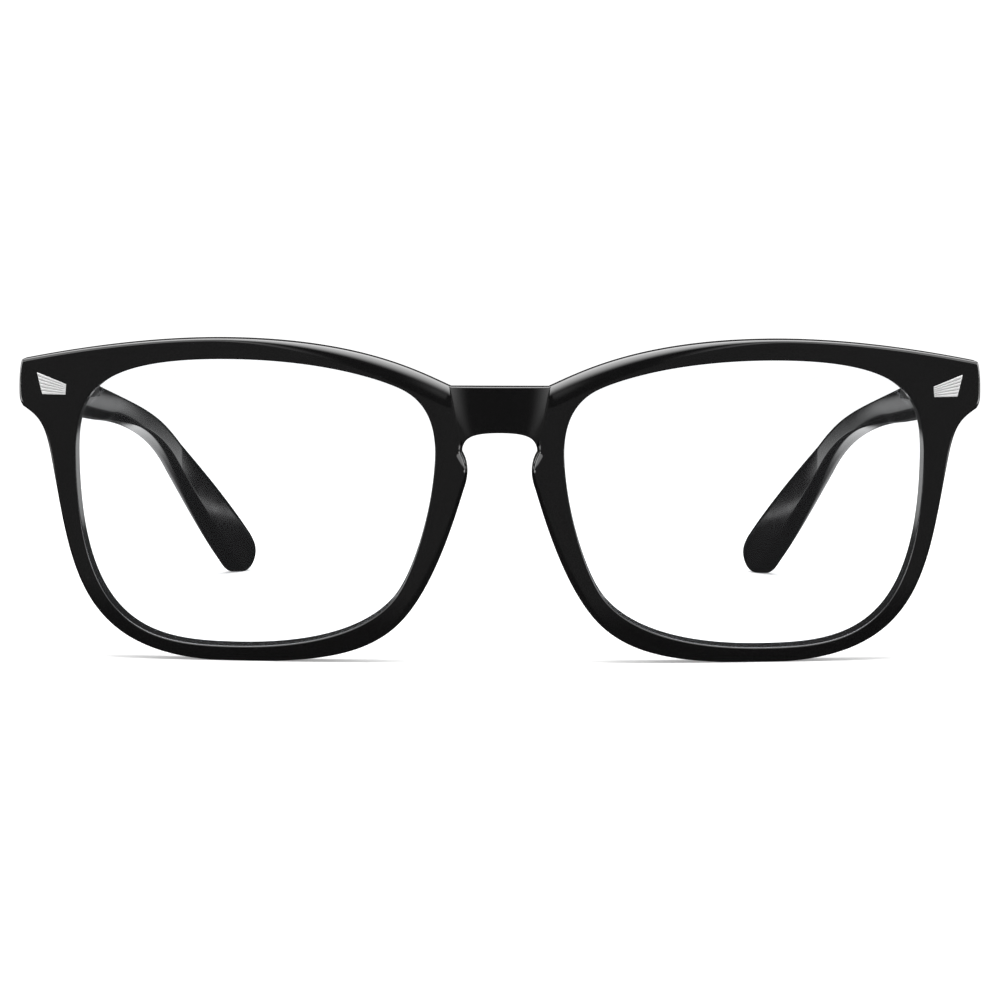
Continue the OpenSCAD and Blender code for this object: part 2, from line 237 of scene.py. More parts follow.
def gloss_plastic(name):
    """Polished black acetate: very faint orange peel, tumbling haze and hairline scratches."""
    mat, nodes, links, bsdf = new_material(name)
    tint = 0.0026
    cloud = object_noise(nodes, links, 60.0, 3.0)
    mix = add(nodes, "ShaderNodeMix", data_type="RGBA")
    mix.inputs["A"].default_value = (tint, tint, tint * 1.05, 1)
    mix.inputs["B"].default_value = (tint * 1.5, tint * 1.45, tint * 1.5, 1)
    links.new(cloud.outputs["Fac"], mix.inputs["Factor"])
    links.new(mix.outputs["Result"], bsdf.inputs["Base Color"])
    haze = object_noise(nodes, links, 240.0, 5.0)
    links.new(span(nodes, links, haze.outputs["Fac"], 0.07, 0.13), bsdf.inputs["Roughness"])
    scratch = object_noise(nodes, links, 900.0, 6.0, (1.0, 0.12, 1.0))
    peel = object_noise(nodes, links, 320.0, 2.0)
    both = add(nodes, "ShaderNodeMath", operation="MULTIPLY_ADD")
    both.inputs[1].default_value = 0.25
    links.new(scratch.outputs["Fac"], both.inputs[0])
    links.new(peel.outputs["Fac"], both.inputs[2])
    bump = add(nodes, "ShaderNodeBump")
    bump.inputs["Strength"].default_value = 0.03
    bump.inputs["Distance"].default_value = 0.00003
    links.new(both.outputs["Value"], bump.inputs["Height"])
    links.new(bump.outputs["Normal"], bsdf.inputs["Normal"])
    bsdf.inputs["IOR"].default_value = 1.49
    bsdf.inputs["Coat Weight"].default_value = 0.15
    bsdf.inputs["Coat Roughness"].default_value = 0.05
    return mat


def brushed_metal(name, color, rough, stretch, metallic=1.0):
    """Satin metal with a brushed grain along one axis and small colour drift."""
    mat, nodes, links, bsdf = new_material(name)
    darkest, finest, coarsest = 0.86, 0.8, 1.3
    bsdf.inputs["Metallic"].default_value = metallic
    grain = object_noise(nodes, links, 900.0, 5.0, stretch)
    drift = object_noise(nodes, links, 180.0, 2.0)
    mix = add(nodes, "ShaderNodeMix", data_type="RGBA")
    mix.inputs["A"].default_value = (*[c * darkest for c in color], 1)
    mix.inputs["B"].default_value = (*color, 1)
    links.new(span(nodes, links, drift.outputs["Fac"], 0.0, 1.0), mix.inputs["Factor"])
    links.new(mix.outputs["Result"], bsdf.inputs["Base Color"])
    roughness = span(nodes, links, grain.outputs["Fac"], rough * finest, rough * coarsest)
    links.new(roughness, bsdf.inputs["Roughness"])
    bump = add(nodes, "ShaderNodeBump")
    bump.inputs["Strength"].default_value = 0.35
    bump.inputs["Distance"].default_value = 0.00002
    links.new(grain.outputs["Fac"], bump.inputs["Height"])
    links.new(bump.outputs["Normal"], bsdf.inputs["Normal"])
    return mat


def clear_lens(name):
    """Thin coated lens: almost fully clear, a cool coating reflection, faint wiped haze."""
    mat, nodes, links, bsdf = new_material(name)
    nodes.remove(bsdf)
    out = nodes["Material Output"]
    clear = add(nodes, "ShaderNodeBsdfTransparent")
    tint = object_noise(nodes, links, 30.0, 2.0)
    body = add(nodes, "ShaderNodeMix", data_type="RGBA")
    body.inputs["A"].default_value = (0.995, 0.998, 1.0, 1)
    body.inputs["B"].default_value = (0.985, 0.992, 1.0, 1)
    links.new(tint.outputs["Fac"], body.inputs["Factor"])
    links.new(body.outputs["Result"], clear.inputs["Color"])
    gloss = add(nodes, "ShaderNodeBsdfGlossy")
    gloss.inputs["Color"].default_value = (0.8, 0.84, 0.9, 1)
    haze = object_noise(nodes, links, 420.0, 4.0, (1.0, 1.0, 0.3))
    links.new(span(nodes, links, haze.outputs["Fac"], 0.01, 0.05), gloss.inputs["Roughness"])
    fresnel = add(nodes, "ShaderNodeFresnel")
    fresnel.inputs["IOR"].default_value = 1.35
    cut = add(nodes, "ShaderNodeMath", operation="MULTIPLY")
    cut.inputs[1].default_value = 0.6
    links.new(fresnel.outputs["Fac"], cut.inputs[0])
    mix = add(nodes, "ShaderNodeMixShader")
    links.new(cut.outputs["Value"], mix.inputs["Fac"])
    links.new(clear.outputs["BSDF"], mix.inputs[1])
    links.new(gloss.outputs["BSDF"], mix.inputs[2])
    links.new(mix.outputs["Shader"], out.inputs["Surface"])
    return mat


BLACK = gloss_plastic("black_acetate")
BLACK_PAD = gloss_plastic("black_pad")
LENS = clear_lens("coated_lens")
PLAQUE = brushed_metal("plaque_silver", (0.6, 0.6, 0.6), 0.5, (1.0, 1.0, 0.15), metallic=0.35)
HINGE = brushed_metal("hinge_black_nickel", (0.035, 0.034, 0.033), 0.34, (0.2, 1.0, 1.0))
SCREW = brushed_metal("screw_steel", (0.7, 0.7, 0.7), 0.2, (1.0, 1.0, 0.2))
SPRING = brushed_metal("spring_wire", (0.58, 0.58, 0.6), 0.25, (1.0, 0.3, 1.0))
CORE = brushed_metal("core_wire_steel", (0.6, 0.6, 0.6), 0.3, (1.0, 0.1, 1.0))


def finish_piece(obj, mat, body, nodes):
    """Material, body and the CAD nodes it stands for, of a drawn piece."""
    obj.data.materials.clear()
    obj.data.materials.append(mat)
    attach(obj, body)
    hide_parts(*nodes)


def mirrored(points, faces):
    flipped = points.copy()
    flipped[:, 0] *= -1
    return flipped, [tuple(reversed(face)) for face in faces]


def front_pair(kind, node, points, faces, mat, slot, smooth=True):
    """A left piece drawn in the plane of the front and its mirror image, both fixed to the front."""
    for side, sign in SIDES:
        p, f = (points, faces) if sign > 0 else mirrored(points, faces)
        obj = make_object(f"{side}_{kind}", to_row(p), f, smooth)
        finish_piece(obj, mat, "front", [f"{side}_{node}"])


# --------------------------------------------------------------------- sheets
def along(line, n):
    """n + 1 points evenly spaced along a line of points."""
    line = np.asarray(line, float)
    run = np.r_[0, np.cumsum(np.hypot(*np.diff(line, axis=0).T))]
    at = np.linspace(0, run[-1], n + 1)
    return np.stack([np.interp(at, run, line[:, 0]), np.interp(at, run, line[:, 1])], 1)


def nearest(line, point):
    return int(np.argmin(np.hypot(line[:, 0] - point[0], line[:, 1] - point[1])))


def cosine(n):
    return 0.5 - 0.5 * np.cos(np.pi * np.arange(n + 1) / n)


def inset(dist, r, power=2.0):
    """How far a face falls back at a distance dist inside a rounded edge of radius r."""
    t = np.clip(r - dist, 0, r)
    return r - np.power(np.maximum(np.power(r, power) - np.power(t, power), 0), 1 / power)


def grid_faces(rows, cols, start, closed=False, flip=False):
    """Quads over rows x cols points numbered row by row."""
    faces = []
    for a in range(rows - 1):
        here, beyond = start + a * cols, start + (a + 1) * cols
        for b in range(cols if closed else cols - 1):
            c = (b + 1) % cols
            quad = (here + b, here + c, beyond + c, beyond + b)
            faces.append(quad[::-1] if flip else quad)
    return faces


MERGE_M, SLIVER_M = 2e-7, 1e-7          # metres: points merged, and edges too short to keep


class Builder:
    """Collects grids of points into one mesh."""

    def __init__(self):
        self.points, self.faces, self.count = [], [], 0

    def add(self, grid, closed=False, flip=False):
        rows, cols = grid.shape[:2]
        self.points.append(grid.reshape(-1, 3))
        self.faces += grid_faces(rows, cols, self.count, closed, flip)
        self.count += rows * cols

    def build(self, name, turn=None, sharp=38):
        points = np.vstack(self.points)
        if turn is not None:
            points = turn(points)
        obj = make_object(name, points, self.faces)
        bm = bmesh.new()
        bm.from_mesh(obj.data)
        bmesh.ops.remove_doubles(bm, verts=bm.verts, dist=MERGE_M)
        bmesh.ops.dissolve_degenerate(bm, edges=bm.edges, dist=SLIVER_M)
        bmesh.ops.recalc_face_normals(bm, faces=bm.faces)
        bm.to_mesh(obj.data)
        bm.free()
        obj.data.shade_smooth()
        obj.data.set_sharp_from_angle(angle=math.radians(sharp))
        return obj


def wall(front_edge, back_edge, n):
    """Rows of points joining two edges of equal length."""
    t = np.linspace(0, 1, n + 1)[:, None, None]
    return front_edge[None] * (1 - t) + back_edge[None] * t


# ---------------------------------------------------------------------- front
BLOCK_X, BLOCK_Z = (61.9, 69.85), (36.6, 43.6)
BLOCK_Y, BLOCK_R, BLOCK_END_R = (9.5, MITRE_Y), 0.7, 0.12
WALL_ROWS, FACE_ROWS, BRIDGE_COLS, FINEST, SEAM_PASSES = 6, 44, 72, 400, 12

# the bridge is a sheet of its own, a step lower than the rims: STEP is the line between the two
J_TOP = nearest(HALF_LINE, (7.3, 40.33))
J_BOT = nearest(HALF_LINE, (5.2, 31.85))
STEP_CURVE = (tuple(HALF_LINE[J_BOT]), (5.9, 33.6), (6.9, 36.2), tuple(HALF_LINE[J_TOP]))
STEP = np.array(bez([STEP_CURVE], STEPS) + [HALF_LINE[J_TOP]])
OUTER_RING = np.vstack([HALF_LINE[J_TOP:J_BOT + 1], STEP[1:-1]])
INNER_RING = OPENING[::-1]
# matching points of the outer edge and the lens opening, and how many columns lie between them
PAIRS = [
    (tuple(HALF_LINE[J_TOP]), (10.6, 37.4), 80),
    ((39.3, 46.9), (38.6, 43.95), 76),
    ((69.4, 43.45), (60.3, 40.0), 34),
    ((70, 38.6), (61.2, 36.2), 24),
    ((68.1, 35.65), (61.6, 33.0), 20),
    ((65.42, 29.5), (61.65, 29.2), 100),
    ((39.2, 0), (38.8, 2.25), 60),
    ((14.4, 5.9), (14.85, 10.05), 56),
    ((5.15, 25.4), (9.6, 25.0), 30),
    (tuple(HALF_LINE[J_BOT]), (9.25, 31.0), 40),
]


def stretch(ring, a, b):
    """Part of a closed line from point a to point b, going forward."""
    i, j = nearest(ring, a), nearest(ring, b)
    if j <= i:
        j += len(ring)
    return np.take(ring, range(i, j + 1), axis=0, mode="wrap")


outer_cols, inner_cols = [], []
for k, (o, a, n) in enumerate(PAIRS):
    o2, a2, _ = PAIRS[(k + 1) % len(PAIRS)]
    n = max(4, int(n * FINE))
    outer_cols.append(along(stretch(OUTER_RING, o, o2), n)[:-1])
    inner_cols.append(along(stretch(INNER_RING, a, a2), n)[:-1])
step_count = len(outer_cols[-1])
outer_cols, inner_cols = np.vstack(outer_cols), np.vstack(inner_cols)
# even out the seams between neighbouring stretches
for _ in range(SEAM_PASSES):
    middle = (np.roll(inner_cols, 1, 0) + np.roll(inner_cols, -1, 0)) / 2
    pull = middle - inner_cols
    run = np.roll(inner_cols, -1, 0) - np.roll(inner_cols, 1, 0)
    run /= np.hypot(run[:, 0], run[:, 1])[:, None]
    inner_cols += 0.5 * run * (pull * run).sum(1)[:, None]


def front_points(flat, q):
    """Points (x, depth, height) of a sheet lying q behind the wrapped face."""
    u = flat[..., 0]
    return np.stack([u, WRAP_R - np.sqrt((WRAP_R - q) ** 2 - u * u), flat[..., 1]], -1)


def from_outline(flat):
    return np.maximum(-poly_distance(flat[..., 0], flat[..., 1], OUTLINE), 0)


def from_opening(flat):
    return np.maximum(poly_distance(np.abs(flat[..., 0]), flat[..., 1], OPENING), 0)


# rounding of the edges: radii, and what the roll gains towards the bridge above and the nose below
CRISP, BROW_R, BROW_DEPTH = 0.4, 2.9, 1.5
RIM_R, NOSE_R = 0.35, 0.85
OPENING_R, BACK_R, BRIDGE_R = 0.22, 0.5, 0.2


def front_roll(flat, dist):
    """Front edge: a broad shallow roll on the brow by the bridge, smaller at the nose, crisp elsewhere."""
    ax, v = np.abs(flat[..., 0]), flat[..., 1]
    high = ramp(v, 31, 36)
    brow = 1 - ramp(ax, 8, 42)
    nose = 1 - ramp(ax, 9, 22)
    r = (CRISP + BROW_R * brow) * high + (RIM_R + NOSE_R * nose) * (1 - high)
    depth = (CRISP + BROW_DEPTH * brow) * high + r * (1 - high)
    return inset(dist, r) * depth / r


def rim_front(flat):
    return np.maximum(front_roll(flat, from_outline(flat)), inset(from_opening(flat), OPENING_R))


def back_face(flat):
    return RIM_T - np.maximum(inset(from_outline(flat), BACK_R), inset(from_opening(flat), BACK_R))


def bridge_front(flat):
    """Face of the bridge: a little behind the rims, leaning back and falling towards its two ends."""
    sunk, lean, lean_from, fall = 0.1, 0.13, 33.0, 0.3
    rel = np.clip(np.abs(flat[..., 0]) / np.interp(flat[..., 1], STEP[:, 1], STEP[:, 0]), 0, 1)
    tilt = lean * np.maximum(flat[..., 1] - lean_from, 0)
    return sunk + tilt + fall * rel ** 4 + inset(from_outline(flat), BRIDGE_R)


rows = cosine(int(FACE_ROWS * FINE))[:, None, None]
rim_flat = inner_cols[None] * (1 - rows) + outer_cols[None] * rows
rim_q = rim_front(rim_flat)
rim_back_q = back_face(rim_flat)


def sampled(line, t):
    """Points of a line at the shares t of its length."""
    return along(line, FINEST)[np.round(t * FINEST).astype(int)]


# the bridge: a grid filled in between its arch, its top edge and the two steps
arch = HALF_LINE[J_BOT:]
arch = np.vstack([arch * MIRROR, arch[::-1][1:]])
top = HALF_LINE[:J_TOP + 1]
top = np.vstack([(top * MIRROR)[::-1], top[1:]])
across, upward = cosine(int(BRIDGE_COLS * FINE)), cosine(step_count)
bottom_line, top_line, right_line = sampled(arch, across), sampled(top, across), sampled(STEP, upward)
left_line = right_line * MIRROR
a, b = across[None, :, None], upward[:, None, None]
bridge_flat = (
    bottom_line[None] * (1 - b) + top_line[None] * b
    + left_line[:, None] * (1 - a) + right_line[:, None] * a
    - (bottom_line[0] * (1 - a) * (1 - b) + bottom_line[-1] * a * (1 - b)
       + top_line[0] * (1 - a) * b + top_line[-1] * a * b))


def rim_half(mesh, sign):
    """One rim: its front, back, opening wall and outer wall, and the step down to the bridge."""
    flip = sign < 0
    scale = np.array([sign, 1.0, 1.0])
    front_sheet = front_points(rim_flat, rim_q) * scale
    back_sheet = front_points(rim_flat, rim_back_q) * scale
    mesh.add(front_sheet, closed=True, flip=flip)
    mesh.add(back_sheet, closed=True, flip=not flip)
    mesh.add(wall(front_sheet[0], back_sheet[0], WALL_ROWS), closed=True, flip=not flip)
    # the outer wall runs everywhere but along the step
    keep = len(outer_cols) - step_count + 1
    mesh.add(wall(front_sheet[-1][:keep], back_sheet[-1][:keep], WALL_ROWS), flip=flip)
    edge = np.vstack([front_sheet[-1][keep - 1:], front_sheet[-1][:1]])
    flat = np.vstack([rim_flat[-1][keep - 1:], rim_flat[-1][:1]])
    low = front_points(flat, np.maximum(bridge_front(flat), rim_front(flat))) * scale
    mesh.add(wall(edge, low, WALL_ROWS // 2), flip=flip)


body = Builder()
for _, sign in SIDES:
    rim_half(body, sign)
bridge_sheet = front_points(bridge_flat, bridge_front(bridge_flat))
bridge_rear = front_points(bridge_flat, back_face(bridge_flat))
body.add(bridge_sheet)
body.add(bridge_rear, flip=True)
body.add(wall(bridge_sheet[0], bridge_rear[0], WALL_ROWS))
body.add(wall(bridge_sheet[-1], bridge_rear[-1], WALL_ROWS), flip=True)


def flat_below(points):
    """Cut flat where it would go under the table."""
    cut = points.copy()
    cut[:, 2] = np.maximum(cut[:, 2], 0)
    return cut


front = body.build("front", lambda points: flat_below(to_row(points)))
finish_piece(front, BLACK, "front", ["front_frame"])


def rounded_box(name, lo, hi, r, end_r, sign):
    """Block with rounded long edges and a small round at its far end, running along y."""
    mid, size = (np.array(lo) + np.array(hi)) / 2, (np.array(hi) - np.array(lo)) / 2
    around, round_steps = 96, 4
    turns = np.linspace(0, 2 * np.pi, around + 1)[:-1]
    corner = np.stack([np.cos(turns), np.sin(turns)], 1)
    ring = np.sign(corner) * (size[[0, 2]] - r) + corner * r
    stations = [(lo[1], 0.0), (hi[1] - end_r, 0.0)]
    stations += [(hi[1] - end_r + end_r * math.sin(t), end_r * (1 - math.cos(t)))
                 for t in np.linspace(0, math.pi / 2, round_steps + 1)[1:]]
    grid = []
    for y, shrink in stations:
        section = ring - corner * shrink
        grid.append(np.stack([
            (mid[0] + section[:, 0]) * sign, np.full(around, y), mid[2] + section[:, 1]], 1))
    last = grid[-1]
    centre = last.mean(0)
    grid += [centre + (last - centre) * t for t in (0.5, 0.0)]
    mesh = Builder()
    mesh.add(np.array(grid), closed=True)
    return mesh.build(name)


for side, sign in SIDES:
    low, high = zip(BLOCK_X, BLOCK_Y, BLOCK_Z)
    block = rounded_box(f"{side}_end_block", low, high, BLOCK_R, BLOCK_END_R, sign)
    finish_piece(block, BLACK, "front", ["front_frame"])


# -------------------------------------------------------------------- temples
def chain(*segs):
    return np.array(bez(segs, STEPS))


T0 = MITRE_Y + 0.1
T_END = 148.0
SIDE = np.vstack([
    chain(
        ((T0, 43.5), (38, 39.9), (71, 37.1), (93, 32.95)),
        ((93, 32.95), (105, 30.7), (118, 26.6), (131.5, 18.4)),
        ((131.5, 18.4), (136.3, 15.4), (141, 12), (144.8, 8.3)),
        ((144.8, 8.3), (147.2, 6), (T_END - 0.12, 4.1), (T_END - 1.2, 2)),
        ((T_END - 1.2, 2), (146, 0.5), (144.8, -0.15), (143.4, -0.15)),
        ((143.4, -0.15), (141, -0.1), (139.7, 1.55), (138, 2.9)),
        ((138, 2.9), (129.4, 9.7), (120.4, 17), (109.6, 22.8)),
        ((109.6, 22.8), (98.6, 28.7), (84, 32), (60, 33.1)),
        ((60, 33.1), (45, 34.1), (30, 35.5), (T0, 36.5))),
    [[T0, 36.5]]])
PLAN_END = T_END + 1
PLAN = np.vstack([
    chain(
        ((T0, 65.5), (50, 65.7), (85, 63.2), (113, 59.9)),
        ((113, 59.9), (129, 57.4), (143, 51.6), (PLAN_END, 47.9))),
    [[PLAN_END, 47.9]],
    chain(
        ((PLAN_END, 51.6), (143, 55.2), (130, 60.4), (113, 62.9)),
        ((113, 62.9), (85, 66.3), (50, 69.3), (T0, 69.5))),
    [[T0, 69.5]]])
# the side view carried on past the mitre, so the long edges are rounded right up to it
FAR = 40.0
SIDE_OPEN = np.vstack([[[T0 - FAR, 46.5]], SIDE[:-1], [[T0 - FAR, 38.0]]])
TIP = int(np.argmax(SIDE[:, 0]))
TOP_LINE, LOW_LINE = SIDE[:TIP + 1], SIDE[TIP:-1][::-1]
INNER_LINE = PLAN[:2 * STEPS + 1]
OUTER_LINE = PLAN[2 * STEPS + 1:-1][::-1]
KNEE = 132.0                            # from here on the columns crowd towards the tip
BEVEL, BEVEL_END = 1.05, (62, 90)       # bevel under the inner face, and where it dies out
LEAST_BEVEL, MOST_BEVEL = 0.35, 0.35    # least height of its rows, and their most as a share of the face
EDGE_R, TIP_R, TIP_FROM = 0.4, 0.9, (80, 118)   # edge rounding, and what it gains towards the tip
EDGE_POWER = 2.2
FLUTE, FLUTE_LIP, FLUTE_END = 0.1, 0.22, 3.2    # depth, width of its lip, and where it ends
MOST_CUT = 0.45                         # share of the thickness that either face may lose
TEMPLE_COLS, TIP_SHARE, BEVEL_ROWS, TEMPLE_ROWS, END_ROWS = 360, 0.5, 14, 44, 4


def at(line, y):
    return np.interp(y, line[:, 0], line[:, 1])


def temple_mesh(name, sign):
    """Inner and outer sheets over the side view of the temple, joined round the edge."""
    y_tip = float(SIDE[TIP, 0])
    n = int(TEMPLE_COLS * FINE)
    last = int(n * TIP_SHARE)
    t = np.linspace(0, 1, n + 1)
    ys = np.concatenate([
        T0 + (KNEE - T0) * t,
        KNEE + (y_tip - KNEE) * np.sin(t[1:last] / t[last - 1] * np.pi / 2)])
    low, high = at(LOW_LINE[np.argsort(LOW_LINE[:, 0])], ys), at(TOP_LINE, ys)
    high = np.maximum(high, low)
    leg = BEVEL * (1 - ramp(ys, *BEVEL_END))
    # rows: the bevel first, then the face above it
    bevel_top = np.minimum(np.maximum(leg, LEAST_BEVEL), (high - low) * MOST_BEVEL)
    on_bevel = np.sin(np.linspace(0, 0.5, int(BEVEL_ROWS * FINE) + 1) * np.pi) ** 1.5
    on_face = cosine(int(TEMPLE_ROWS * FINE))
    zs = np.vstack([
        low + bevel_top * on_bevel[:, None],
        (low + bevel_top) + (high - low - bevel_top) * on_face[1:, None]])
    yy = np.broadcast_to(ys, zs.shape)
    dist = np.maximum(-poly_distance(yy, zs, SIDE_OPEN), 0)
    roll = inset(dist, EDGE_R + TIP_R * ramp(yy, *TIP_FROM), EDGE_POWER)
    thick = at(OUTER_LINE, yy) - at(INNER_LINE, yy)
    most = thick * MOST_CUT
    above = zs - low
    bevel = np.maximum(leg - above, 0)
    # shallow flute above the bevel, ending on a crisp lip
    rise = np.maximum(above - leg, 0)
    flute = FLUTE * np.minimum(rise / FLUTE_LIP, 1) * (1 - ramp(rise, FLUTE_LIP, FLUTE_END)) * (leg / BEVEL)
    x_in = at(INNER_LINE, yy) + np.minimum(np.maximum(np.maximum(roll, bevel), flute), most)
    x_out = at(OUTER_LINE, yy) - np.minimum(roll, most)
    inner = np.stack([x_in * sign, yy, zs], -1)
    outer = np.stack([x_out * sign, yy, zs], -1)
    flip = sign > 0
    mesh = Builder()
    mesh.add(inner, flip=not flip)
    mesh.add(outer, flip=flip)
    mesh.add(wall(inner[0], outer[0], END_ROWS), flip=flip)
    mesh.add(wall(inner[-1], outer[-1], END_ROWS), flip=not flip)
    mesh.add(wall(inner[:, 0], outer[:, 0], END_ROWS), flip=not flip)
    mesh.add(wall(inner[:, -1], outer[:, -1], END_ROWS), flip=flip)
    return mesh.build(name, flat_below, sharp=30)


for side, sign in SIDES:
    arm = temple_mesh(f"{side}_temple_arm", sign)
    finish_piece(arm, BLACK, f"{side}_temple", [f"{side}_temple"])


# ------------------------------------------------------------------ nose pads
def capsule(x, y, z, a, b, ra, rb):
    """Distance to a tapering rounded rod from a to b."""
    ab = np.array(b) - np.array(a)
    t = ((x - a[0]) * ab[0] + (y - a[1]) * ab[1] + (z - a[2]) * ab[2]) / (ab @ ab)
    t = np.clip(t, 0, 1)
    dx, dy, dz = x - a[0] - t * ab[0], y - a[1] - t * ab[1], z - a[2] - t * ab[2]
    return np.sqrt(dx * dx + dy * dy + dz * dz) - (ra + (rb - ra) * t)


PAD_SINK = 0.02                         # how far a pad reaches into the back of the rim


def pad_field(x, w, v):
    """A pad made of a front and a back rod with a web between, cut by the back of the rim."""
    front_rod = smooth_min(
        capsule(x, w, v, (6.5, 4, 26.4), (8.0, 4, 20.5), 1.2, 1.2),
        capsule(x, w, v, (8.0, 4, 20.5), (10.5, 4, 15.0), 1.2, 1.1), 0.5)
    back_rod = smooth_min(
        capsule(x, w, v, (7.3, 7.9, 25.8), (9.1, 7.9, 20.5), 1.25, 1.2),
        capsule(x, w, v, (9.1, 7.9, 20.5), (10.7, 6.6, 16.2), 1.2, 1.05), 0.5)
    web = np.minimum(
        capsule(x, w, v, (6.9, 5.9, 26.2), (8.7, 5.9, 20.2), 1.35, 1.35),
        capsule(x, w, v, (8.7, 5.9, 20.2), (10.6, 5.4, 15.6), 1.3, 1.05))
    pad = smooth_min(smooth_min(front_rod, back_rod, 1.6), web, 1.2)
    q = WRAP_R - np.sqrt(x * x + (WRAP_R - w) ** 2)
    return np.maximum(pad, RIM_T - PAD_SINK - q)


pad_mesh = field_mesh(pad_field, (3, 3.2, 10), (14.5, 11, 30), 0.15)
front_pair("nose_rest", "nose_pad", *pad_mesh, BLACK_PAD, "black_plastic")


# --------------------------------------------------------------------- lenses
EYE_MID = np.array([35.45, 23.1])
LENS_R, LENS_T, LENS_SET, LENS_BITE = 265.0, 1.6, 0.5, 0.6
LENS_RINGS, LENS_BEVEL = 14, 0.15


def lens_mesh():
    """Both faces of the lens on their spheres, with a small bevel round the edge."""
    size = OPENING.max(0) - OPENING.min(0)
    rim = EYE_MID + (OPENING - EYE_MID) * (size + 2 * LENS_BITE) / size
    axis = math.asin(EYE_MID[0] / WRAP_R)
    offset = WRAP_R - LENS_SET - LENS_R
    cx, cw, cv = offset * math.sin(axis), WRAP_R - offset * math.cos(axis), EYE_MID[1]
    points, faces = [], []
    n = len(rim)

    def depth(p, radius):
        return cw - np.sqrt(radius**2 - (p[:, 0] - cx) ** 2 - (p[:, 1] - cv) ** 2)

    def face(radius, flip):
        start = len(points)
        centre = EYE_MID[None, :]
        points.append((centre[0, 0], depth(centre, radius)[0], centre[0, 1]))
        for k in range(1, LENS_RINGS + 1):
            ring = EYE_MID + (rim - EYE_MID) * min(k / LENS_RINGS, 1 - LENS_BEVEL / 26)
            points.extend(zip(ring[:, 0], depth(ring, radius), ring[:, 1]))
        for i in range(n):
            j = (i + 1) % n
            tri = (start, start + 1 + i, start + 1 + j)
            faces.append(tri[::-1] if flip else tri)
            for k in range(LENS_RINGS - 1):
                a, b = start + 1 + k * n + i, start + 1 + k * n + j
                quad = (a, a + n, b + n, b)
                faces.append(quad[::-1] if flip else quad)
        return start + 1 + (LENS_RINGS - 1) * n

    def edge_ring(w):
        start = len(points)
        points.extend(zip(rim[:, 0], w, rim[:, 1]))
        return start

    outer = face(LENS_R, False)
    inner = face(LENS_R - LENS_T, True)
    mid_a = edge_ring(depth(rim, LENS_R) + LENS_BEVEL)
    mid_b = edge_ring(depth(rim, LENS_R - LENS_T) - LENS_BEVEL)
    for i in range(n):
        j = (i + 1) % n
        for a, b in ((outer, mid_a), (mid_a, mid_b), (mid_b, inner)):
            faces.append((a + i, b + i, b + j, a + j))
    return np.array(points), faces


front_pair("clear_lens", "lens", *lens_mesh(), LENS, "lens_plastic")


# -------------------------------------------------------------------- plaques
RIDGES = 6
PLATE_PROUD, PLATE_SUNK, PLATE_DEEP = 0.1, 0.03, 0.5
PLATE_EDGE, RIDGE_DEPTH, RIDGE_FADE = 0.12, 0.14, 0.2


def plaque_mesh():
    """Ridged silver plate: ridges fan from the tall outer end to the short inner end."""
    low_out, high_out = np.array([66.5, 38.4]), np.array([67.25, 41.65])
    low_in, high_in = np.array([62.95, 38.4]), np.array([62.8, 39.95])
    length, height = 3.9, 2.4
    nu, nv = 40, 120
    points, faces = [], []
    for i in range(nu + 1):
        s = i / nu
        lo, hi = low_out + (low_in - low_out) * s, high_out + (high_in - high_out) * s
        for j in range(nv + 1):
            t = j / nv
            p = lo + (hi - lo) * t
            crest = abs(math.sin(math.pi * RIDGES * t)) ** 0.6
            border = min(min(s, 1 - s) * length, t * height, (1 - t) * height)
            lip = math.sin(min(border / PLATE_EDGE, 1.0) * math.pi / 2)
            groove = RIDGE_DEPTH * (1 - crest) * min(1.0, border / RIDGE_FADE)
            h = -PLATE_SUNK + (PLATE_PROUD + PLATE_SUNK) * lip - groove
            w = WRAP_R - math.sqrt(WRAP_R**2 - p[0] ** 2) - h
            points.append((p[0], w, p[1]))
    for i in range(nu):
        for j in range(nv):
            a = i * (nv + 1) + j
            faces.append((a, a + 1, a + nv + 2, a + nv + 1))
    # the wall behind the edge of the plate, closed by one flat face
    border = (
        [j for j in range(nv + 1)]
        + [i * (nv + 1) + nv for i in range(1, nu + 1)]
        + [nu * (nv + 1) + j for j in range(nv - 1, -1, -1)]
        + [i * (nv + 1) for i in range(nu - 1, 0, -1)])
    base = len(points)
    for b in border:
        x, w, v = points[b]
        points.append((x, WRAP_R - math.sqrt(WRAP_R**2 - x * x) + PLATE_DEEP, v))
    m = len(border)
    for k in range(m):
        a, b = border[k], border[(k + 1) % m]
        faces.append((a, base + k, base + (k + 1) % m, b))
    faces.append(tuple(base + k for k in range(m)))
    return np.array(points), faces


front_pair("ridged_plaque", "plaque", *plaque_mesh(), PLAQUE, "plaque_metal", smooth=False)


# ------------------------------------------------------- hinge parts from CAD
CAD_PIECES = (
    ("front_hinge_leaf", HINGE, 0.12), ("hinge_slider", HINGE, 0.1), ("hinge_housing", HINGE, 0.25),
    ("spring_stop", HINGE, 0.08), ("hinge_screw", SCREW, 0.06), ("temple_core", CORE, 0.1))


def dress(obj, mat, bevel):
    """Material and a small bevel for a piece whose mesh comes from the CAD."""
    obj.data.materials.clear()
    obj.data.materials.append(mat)
    mod = obj.modifiers.new("edge", "BEVEL")
    mod.width = bevel * MM
    mod.segments = 2
    mod.limit_method = "ANGLE"
    mod.angle_limit = math.radians(40)
    mod.harden_normals = False


for side, _ in SIDES:
    for piece, mat, bevel in CAD_PIECES:
        dress(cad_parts[f"{side}_{piece}"], mat, bevel)


# -------------------------------------------------------------------- springs
WIRE_R, COILS, CLOSED_COILS = 0.16, 8, 1.0


